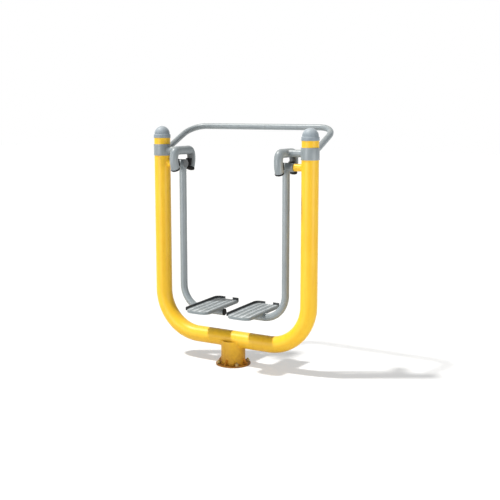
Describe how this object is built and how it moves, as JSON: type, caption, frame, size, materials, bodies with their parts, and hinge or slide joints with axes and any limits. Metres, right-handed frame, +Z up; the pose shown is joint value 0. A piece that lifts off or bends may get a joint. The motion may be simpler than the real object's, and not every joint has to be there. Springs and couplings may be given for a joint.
{
  "type": "outdoor air walker",
  "caption": "Free-standing outdoor air walker: a bent U frame on a bolted pedestal, a rear handrail, and swinging legs with foot platforms hung inside guard hoops.",
  "frame": {"origin": "centre of the underside of the base plate", "axes": "+Z up, +X from the left post to the right post, +Y from the open front towards the handrail"},
  "size_m": [1.308, 0.6222, 1.6685],
  "materials": {
    "yellow_paint": "gloss yellow powder coat",
    "grey_paint": "satin silver-grey powder coat",
    "grey_plastic": "satin moulded plastic",
    "black_rubber": "matt moulded rubber",
    "dark_plastic": "matt moulded plastic",
    "bare_steel": "machined",
    "zinc_plate": "zinc plated"
  },
  "bodies": {
    "frame": {"frame_tube": "yellow_paint", "pedestal_tube": "yellow_paint", "base_flange": "yellow_paint", "base_gusset_right": "yellow_paint", "base_gusset_back": "yellow_paint", "base_gusset_left": "yellow_paint", "base_gusset_front": "yellow_paint", "anchor_bolt_1": "zinc_plate", "anchor_bolt_2": "zinc_plate", "anchor_bolt_3": "zinc_plate", "anchor_bolt_4": "zinc_plate", "handrail": "grey_paint", "post_cap_left": "grey_plastic", "post_cap_right": "grey_plastic", "post_sleeve_left": "grey_paint", "post_sleeve_right": "grey_paint", "guard_arm_left": "grey_paint", "guard_arm_right": "grey_paint", "guard_hoop_left": "grey_paint", "guard_hoop_right": "grey_paint", "guard_plug_left_front": "black_rubber", "guard_plug_left_rear": "black_rubber", "guard_plug_right_front": "black_rubber", "guard_plug_right_rear": "black_rubber", "stop_buffer_left_front": "black_rubber", "stop_buffer_left_rear": "black_rubber", "stop_buffer_right_front": "black_rubber", "stop_buffer_right_rear": "black_rubber", "pivot_stub_left": "yellow_paint", "pivot_stub_right": "yellow_paint", "pivot_shaft_left": "bare_steel", "pivot_shaft_right": "bare_steel", "lock_nut_left": "zinc_plate", "lock_nut_right": "zinc_plate", "bearing_spacer_left": "bare_steel", "bearing_spacer_right": "bare_steel"},
    "leg_left": {"hub_sleeve_left": "grey_paint", "hub_cap_left": "dark_plastic", "bearing_inner_left": "bare_steel", "bearing_outer_left": "bare_steel", "leg_tube_left": "grey_paint", "leg_plug_left": "black_rubber", "pedal_tray_left": "grey_paint", "pedal_kerb_left": "dark_plastic", "heel_stop_left": "dark_plastic", "pedal_saddle_left": "grey_paint", "pedal_screw_left_front": "zinc_plate", "pedal_screw_left_rear": "zinc_plate"},
    "leg_right": {"hub_sleeve_right": "grey_paint", "hub_cap_right": "dark_plastic", "bearing_inner_right": "bare_steel", "bearing_outer_right": "bare_steel", "leg_tube_right": "grey_paint", "leg_plug_right": "black_rubber", "pedal_tray_right": "grey_paint", "pedal_kerb_right": "dark_plastic", "heel_stop_right": "dark_plastic", "pedal_saddle_right": "grey_paint", "pedal_screw_right_front": "zinc_plate", "pedal_screw_right_rear": "zinc_plate"}
  },
  "joints": [
    {"name": "left_leg_swing", "type": "hinge", "parent": "frame", "child": "leg_left", "pos_m": [-0.43, 0, 1.394], "axis": [1, 0, 0], "range_deg": [-37, 37]},
    {"name": "right_leg_swing", "type": "hinge", "parent": "frame", "child": "leg_right", "pos_m": [0.43, 0, 1.394], "axis": [1, 0, 0], "range_deg": [-37, 37]}
  ]
}
